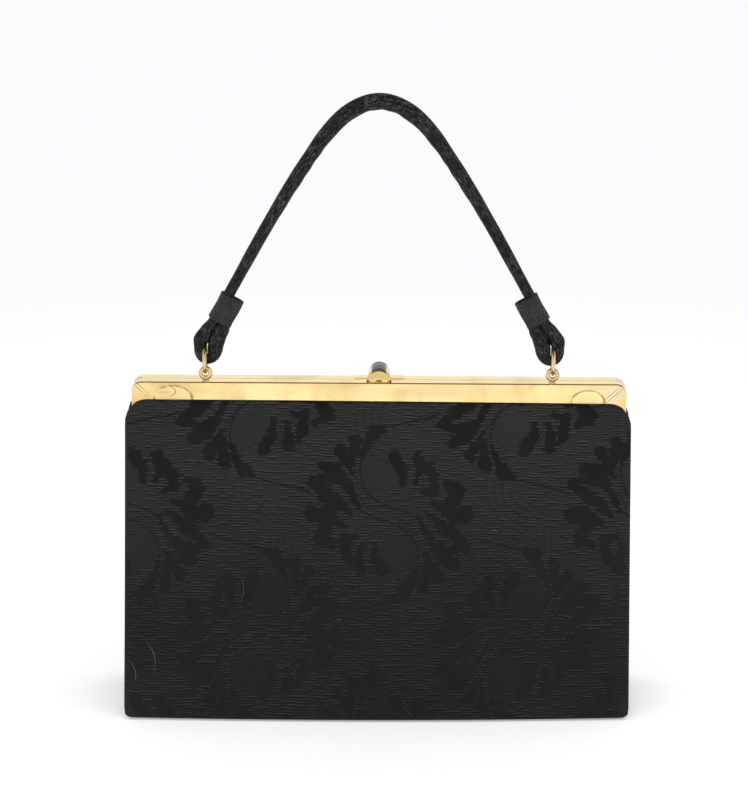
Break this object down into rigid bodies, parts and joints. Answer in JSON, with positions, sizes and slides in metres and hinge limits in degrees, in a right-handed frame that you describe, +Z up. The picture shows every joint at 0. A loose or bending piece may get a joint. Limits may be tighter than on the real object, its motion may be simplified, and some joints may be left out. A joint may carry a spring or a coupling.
{
  "type": "frame handbag",
  "caption": "Structured top-handle handbag: brocade walls on a hinged gilt frame with a lift lever clasp, folded side gussets, cloth lining and a rolled cloth handle looped through wire rings.",
  "frame": {"origin": "on the ground under the middle of the base", "axes": "+Z up, +X to the right of someone looking at the front, the front panel faces -Y"},
  "size_m": [0.257, 0.0668, 0.3191],
  "materials": {
    "brocade": "matte",
    "gilt": "polished",
    "gilt_wire": "polished",
    "faille": "satin",
    "lining_cloth": "satin",
    "board": "matte"
  },
  "bodies": {
    "body": {"front_frame": "gilt", "hinge_rivets": "gilt", "front_panel": "brocade", "rear_panel": "brocade", "base_panel": "brocade", "left_gusset": "brocade", "right_gusset": "brocade", "front_board": "board", "rear_board_lower": "board", "lining": "lining_cloth", "clasp_base": "gilt", "clasp_pin": "gilt", "handle_eye_left": "gilt_wire", "handle_eye_right": "gilt_wire"},
    "rear_half": {"rear_frame": "gilt", "rear_board_upper": "board", "catch_plate": "gilt"},
    "clasp": {"clasp_lever": "gilt"},
    "ring_left": {"handle_ring_left": "gilt_wire"},
    "ring_right": {"handle_ring_right": "gilt_wire"},
    "handle": {"handle_cord": "faille", "keeper_left": "faille", "keeper_right": "faille"}
  },
  "joints": [
    {"name": "frame_hinge", "type": "hinge", "parent": "body", "child": "rear_half", "pos_m": [0, 0, 0.12], "axis": [-1, 0, 0], "range_deg": [0, 45], "deforming": ["rear_panel", "left_gusset", "right_gusset", "lining"]},
    {"name": "clasp_lift", "type": "hinge", "parent": "body", "child": "clasp", "pos_m": [0, -0.0044, 0.1738], "axis": [1, 0, 0], "range_deg": [0, 50]},
    {"name": "ring_left_swing", "type": "hinge", "parent": "body", "child": "ring_left", "pos_m": [-0.0876, -0.0035, 0.17875], "axis": [1, 0, 0], "range_deg": [-40, 40]},
    {"name": "ring_right_swing", "type": "hinge", "parent": "body", "child": "ring_right", "pos_m": [0.0876, -0.0035, 0.17875], "axis": [1, 0, 0], "range_deg": [-40, 40]},
    {"name": "handle_swing", "type": "hinge", "parent": "ring_left", "child": "handle", "pos_m": [-0.0876, -0.0035, 0.1834], "axis": [1, 0, 0], "range_deg": [-60, 105]}
  ],
  "couplings": [
    {"joint": "ring_right_swing", "follows": "ring_left_swing", "ratio": 1}
  ]
}
